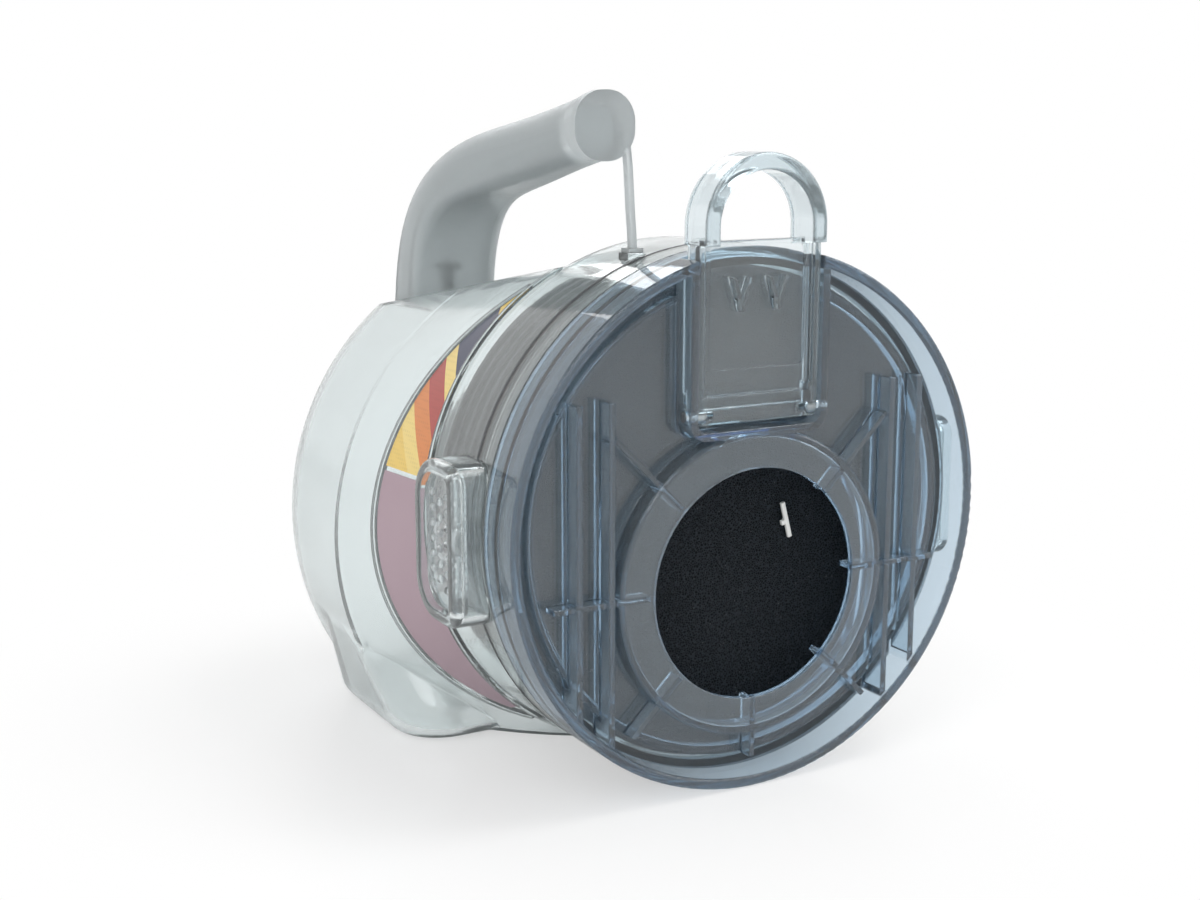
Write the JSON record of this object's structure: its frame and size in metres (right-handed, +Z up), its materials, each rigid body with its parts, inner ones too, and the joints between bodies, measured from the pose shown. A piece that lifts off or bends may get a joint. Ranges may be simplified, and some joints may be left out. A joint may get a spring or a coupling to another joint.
{
  "type": "cyclone dust bin",
  "caption": "Clear vacuum dust bin lying on its side, with a round pull-off filter lid, stirrup pull lever, frosted carry handle and two sprung side grips.",
  "frame": {"origin": "middle of the flat foot that rests on the table", "axes": "+X to the right seen from the lid, +Y from the lid to the rear wall along the barrel, +Z up"},
  "size_m": [0.172, 0.165, 0.191],
  "materials": {
    "clear": "clear gloss",
    "blue": "blue-tinted clear gloss",
    "frosted": "frosted",
    "dark_rubber": "matt",
    "soft": "matt",
    "art": "printed film",
    "plum": "plain film",
    "basket": "satin",
    "inner": "satin",
    "pin": "bright",
    "foam": "open-cell foam",
    "white": "satin"
  },
  "bodies": {
    "bin": {"bin_shell": "clear", "bin_drum": "clear", "seam_gasket": "dark_rubber", "handle": "frosted", "label_art": "art", "label_panel": "plum", "inlet_gasket": "dark_rubber", "filter_basket": "basket", "shroud_mesh": "inner", "vortex_tube": "inner", "cyclone_cone": "inner", "grip_spring_left": "pin", "grip_spring_right": "pin"},
    "lid": {"lid_shell": "blue", "lid_seal": "soft", "lever_pin_left": "pin", "lever_pin_right": "pin", "foam_filter": "foam", "foam_tag": "white"},
    "lever": {"pull_lever": "blue"},
    "grip_left": {"grip_button_left": "clear"},
    "grip_right": {"grip_button_right": "clear"}
  },
  "joints": [
    {"name": "lid_pull", "type": "slide", "parent": "bin", "child": "lid", "axis": [0, -1, 0], "range_m": [0, 0.06]},
    {"name": "lever_swing", "type": "hinge", "parent": "lid", "child": "lever", "pos_m": [0, -0.0968, 0.106], "axis": [1, 0, 0], "range_deg": [0, 20]},
    {"name": "grip_left_press", "type": "slide", "parent": "bin", "child": "grip_left", "axis": [1, 0, 0], "range_m": [0, 0.002], "stiffness_N_per_m": 400, "deforming": ["grip_spring_left"]},
    {"name": "grip_right_press", "type": "slide", "parent": "bin", "child": "grip_right", "axis": [-1, 0, 0], "range_m": [0, 0.002], "stiffness_N_per_m": 400, "deforming": ["grip_spring_right"]}
  ]
}
